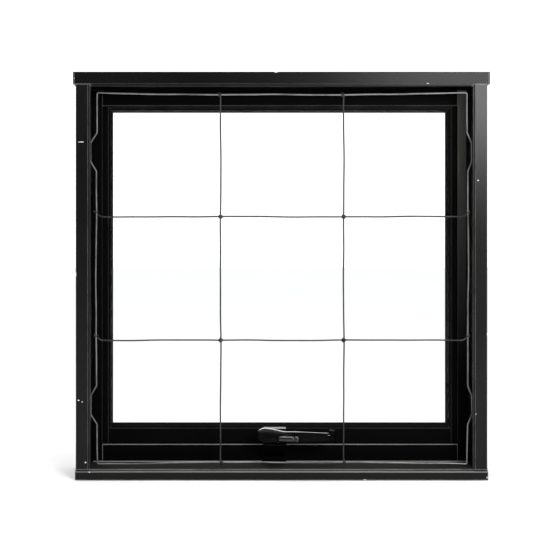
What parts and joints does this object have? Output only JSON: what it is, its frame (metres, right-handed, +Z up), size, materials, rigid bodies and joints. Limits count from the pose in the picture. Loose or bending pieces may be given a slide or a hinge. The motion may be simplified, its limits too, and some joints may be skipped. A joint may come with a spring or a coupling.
{
  "type": "awning window with crank operator and wire guard",
  "caption": "Top-hung awning window unit in black: frame, outward sash with sealed glass, folding crank operator at the sill and a wire guard sprung into the reveal.",
  "frame": {"origin": "middle of the unit's foot: half way along its width, half way through its depth, at the underside of the sill", "axes": "+X to the right seen from the room, +Y outdoors through the window, +Z up"},
  "size_m": [0.61, 0.1, 0.5975],
  "materials": {
    "frame_black": "satin black paint on extruded aluminium",
    "sash_black": "satin black paint on extruded aluminium",
    "bead_black": "satin black paint on the snap-in glazing beads",
    "cap_black": "black moulded end caps",
    "seal_black": "black EPDM seals and gaskets",
    "setting_grey": "hard rubber setting blocks",
    "spacer_grey": "mill finish spacer bar",
    "glass_clear": "clear float glass",
    "wire_zinc": "dull galvanised wire, handled and slightly worn",
    "tie_dark": "dark crossing ties",
    "screw_black": "blackened screws",
    "operator_black": "satin black enamel on die cast zinc",
    "handle_black": "semi gloss black enamel, polished by use",
    "knob_black": "smooth black knob",
    "arm_steel": "zinc plated stamped steel",
    "pin_steel": "turned steel pins and studs",
    "worm_steel": "hardened steel, lightly greased",
    "bush_grey": "grey acetal bushes",
    "roller_white": "off-white acetal rollers",
    "track_steel": "zinc plated steel channel"
  },
  "bodies": {
    "frame": {"head": "frame_black", "head_end_caps": "cap_black", "sill": "frame_black", "sill_end_caps": "cap_black", "jamb_left": "frame_black", "jamb_right": "frame_black", "frame_screws": "screw_black", "frame_seal": "seal_black", "head_hinge_rail": "frame_black", "hinge_screws": "screw_black", "guard_edge": "wire_zinc", "guard_upright_left": "wire_zinc", "guard_upright_right": "wire_zinc", "guard_rail_lower": "wire_zinc", "guard_rail_upper": "wire_zinc", "guard_ties": "tie_dark", "operator_base": "operator_black", "base_screws": "screw_black", "arm_pins": "pin_steel", "arm_washers": "bush_grey", "spindle_bush_inner": "bush_grey", "spindle_bush_outer": "bush_grey", "operator_cover": "operator_black"},
    "sash": {"sash_stile_left": "sash_black", "sash_stile_right": "sash_black", "sash_top_rail": "sash_black", "sash_bottom_rail": "sash_black", "sash_screws": "screw_black", "glass_outer": "glass_clear", "glass_inner": "glass_clear", "glass_spacer": "spacer_grey", "glazing_gasket_outer": "seal_black", "glazing_gasket_inner": "seal_black", "setting_blocks": "setting_grey", "glazing_bead_bottom": "bead_black", "glazing_bead_top": "bead_black", "glazing_bead_left": "bead_black", "glazing_bead_right": "bead_black", "sash_track_left": "track_steel", "sash_track_right": "track_steel", "track_rivets": "pin_steel"},
    "arm_left": {"arm_left": "arm_steel", "roller_stud_left": "pin_steel"},
    "arm_right": {"arm_right": "arm_steel", "roller_stud_right": "pin_steel"},
    "roller_left": {"roller_left": "roller_white"},
    "roller_right": {"roller_right": "roller_white"},
    "crank": {"worm_spindle": "worm_steel", "crank_handle": "handle_black", "handle_set_screw": "screw_black", "grip_pin": "pin_steel"},
    "grip": {"folding_grip": "handle_black"},
    "knob": {"grip_knob": "knob_black"}
  },
  "joints": [
    {"name": "sash_swing", "type": "hinge", "parent": "frame", "child": "sash", "pos_m": [0, 0.045, 0.57454], "axis": [1, 0, 0], "range_deg": [0, 13]},
    {"name": "arm_left_swing", "type": "hinge", "parent": "frame", "child": "arm_left", "pos_m": [-0.025, 0.0225, 0.0266], "axis": [0, -0.0958, 0.9954], "range_deg": [-38.42, 0]},
    {"name": "arm_right_swing", "type": "hinge", "parent": "frame", "child": "arm_right", "pos_m": [0.015, 0.0225, 0.0266], "axis": [0, -0.0958, 0.9954], "range_deg": [0, 38.42]},
    {"name": "roller_left_spin", "type": "hinge", "parent": "arm_left", "child": "roller_left", "pos_m": [-0.22498, 0.0255, 0.02689], "axis": [0, -0.0958, 0.9954], "continuous": true},
    {"name": "roller_right_spin", "type": "hinge", "parent": "arm_right", "child": "roller_right", "pos_m": [0.21498, 0.0255, 0.02689], "axis": [0, -0.0958, 0.9954], "continuous": true},
    {"name": "crank_turn", "type": "hinge", "parent": "frame", "child": "crank", "pos_m": [-0.005, 0.0225, 0.0266], "axis": [0, -0.829, 0.5592], "range_deg": [0, 922.06]},
    {"name": "grip_fold", "type": "hinge", "parent": "crank", "child": "grip", "pos_m": [0.07471, -0.04069, 0.05899], "axis": [0.0436, 0.5587, 0.8282], "range_deg": [0, 90]},
    {"name": "knob_spin", "type": "hinge", "parent": "grip", "child": "knob", "pos_m": [0.01062, -0.04103, 0.05849], "axis": [0.999, -0.0244, -0.0362], "continuous": true}
  ],
  "couplings": [
    {"joint": "arm_left_swing", "follows": "sash_swing", "ratio": -2.955},
    {"joint": "arm_right_swing", "follows": "sash_swing", "ratio": 2.955},
    {"joint": "crank_turn", "follows": "sash_swing", "ratio": 70.92}
  ]
}
